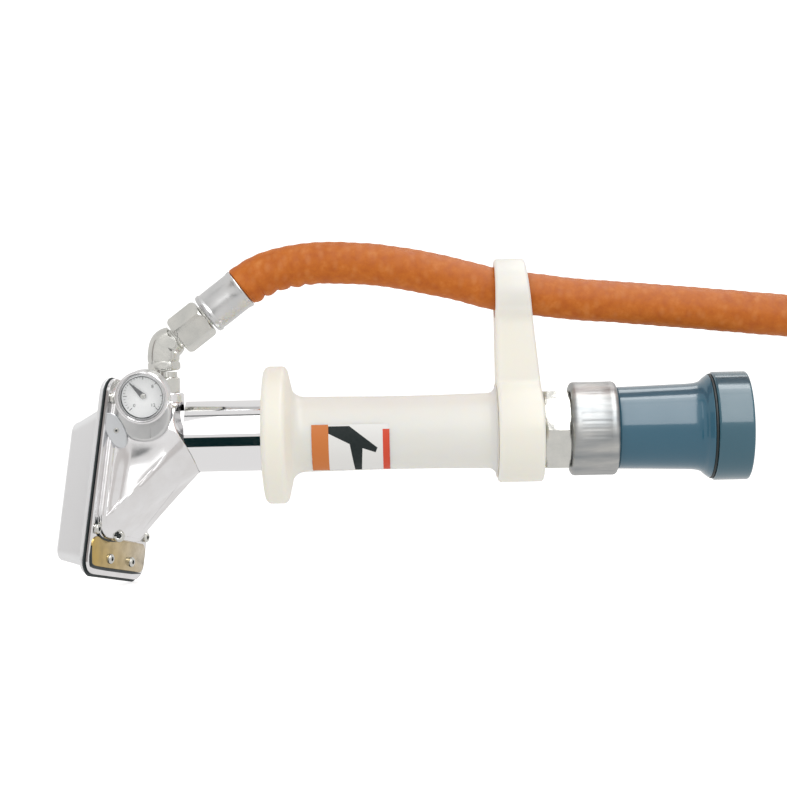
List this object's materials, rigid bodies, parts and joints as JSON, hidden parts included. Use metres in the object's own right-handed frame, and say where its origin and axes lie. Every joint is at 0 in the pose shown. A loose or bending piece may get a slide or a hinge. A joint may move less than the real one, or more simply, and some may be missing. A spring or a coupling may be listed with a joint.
{
  "type": "steam and suction nozzle",
  "caption": "Hand-held nozzle: rectangular suction mouth and gauge-fitted head on a tube with a moulded grip, hose guide, swivel cuff and short steam hose.",
  "frame": {"origin": "centre of the bounding box of the rigid tool, without the steam hose and what is on its far end", "axes": "+X along the handle from the mouth to the hose cuff, +Z towards the hose guide's eye, -Y the side the gauge faces"},
  "size_m": [0.6076, 0.119, 0.2518],
  "materials": {
    "polished_chrome": "mirror polished with light casting marks",
    "blasted_steel": "fine bead-blasted satin",
    "satin_steel": "satin turned",
    "zinc_plate": "bright zinc plate",
    "white_plastic": "translucent off-white, moulded",
    "black_rubber": "smooth moulded",
    "orange_rubber": "fabric-wrapped cover",
    "blue_grey_rubber": "smooth moulded, slight gloss",
    "pale_blue_rubber": "smooth moulded",
    "dial_white": "printed",
    "needle_black": "satin",
    "window_glass": "clear",
    "label_film": "printed film"
  },
  "bodies": {
    "handle_assembly": {"end_ferrule": "zinc_plate", "end_stem": "zinc_plate", "feed_pipe": "satin_steel", "flange_gasket": "black_rubber", "flange_screw_1": "satin_steel", "flange_screw_2": "satin_steel", "flange_screw_3": "satin_steel", "flange_screw_4": "satin_steel", "flange_screw_5": "satin_steel", "flange_screw_6": "satin_steel", "gauge_bezel": "polished_chrome", "gauge_case": "polished_chrome", "gauge_dial": "dial_white", "gauge_stem": "polished_chrome", "gauge_window": "window_glass", "grip_sleeve": "white_plastic", "hex_adapter": "polished_chrome", "hose_ferrule": "zinc_plate", "hose_guide": "white_plastic", "hose_stem": "zinc_plate", "inlet_elbow": "zinc_plate", "inlet_nipple": "zinc_plate", "mouth_shroud": "blasted_steel", "rear_housing": "polished_chrome", "spray_bar": "satin_steel", "spray_jet_1": "satin_steel", "spray_jet_2": "satin_steel", "spray_jet_3": "satin_steel", "steam_hose": "orange_rubber", "suction_tube": "polished_chrome", "swivel_seal": "black_rubber"},
    "coupling_nut": {"coupling_nut": "satin_steel"},
    "cuff_swivel": {"cuff": "blue_grey_rubber", "cuff_seal": "black_rubber", "cuff_collar": "pale_blue_rubber"},
    "steam_nut": {"steam_swivel_nut": "zinc_plate"},
    "end_nut_body": {"end_nut": "zinc_plate"},
    "needle": {"gauge_needle": "needle_black"}
  },
  "joints": [
    {"name": "coupling_nut_turn", "type": "hinge", "parent": "handle_assembly", "child": "coupling_nut", "pos_m": [0.12455, 0.00803, -0.01005], "axis": [1, 0, 0], "continuous": true},
    {"name": "cuff_swivel_turn", "type": "hinge", "parent": "handle_assembly", "child": "cuff_swivel", "pos_m": [0.14725, 0.00803, -0.01005], "axis": [1, 0, 0], "continuous": true},
    {"name": "steam_nut_turn", "type": "hinge", "parent": "handle_assembly", "child": "steam_nut", "pos_m": [-0.16722, 0.00803, 0.06445], "axis": [0.7986, 0, 0.6018], "continuous": true},
    {"name": "end_nut_turn", "type": "hinge", "parent": "handle_assembly", "child": "end_nut_body", "pos_m": [0.32498, 0.00803, 0.06758], "axis": [0.9944, 0, -0.1057], "continuous": true},
    {"name": "gauge_needle_turn", "type": "hinge", "parent": "handle_assembly", "child": "needle", "pos_m": [-0.18745, -0.03147, 0.02255], "axis": [0, -0.9945, -0.1045], "range_deg": [-180, 90]}
  ]
}
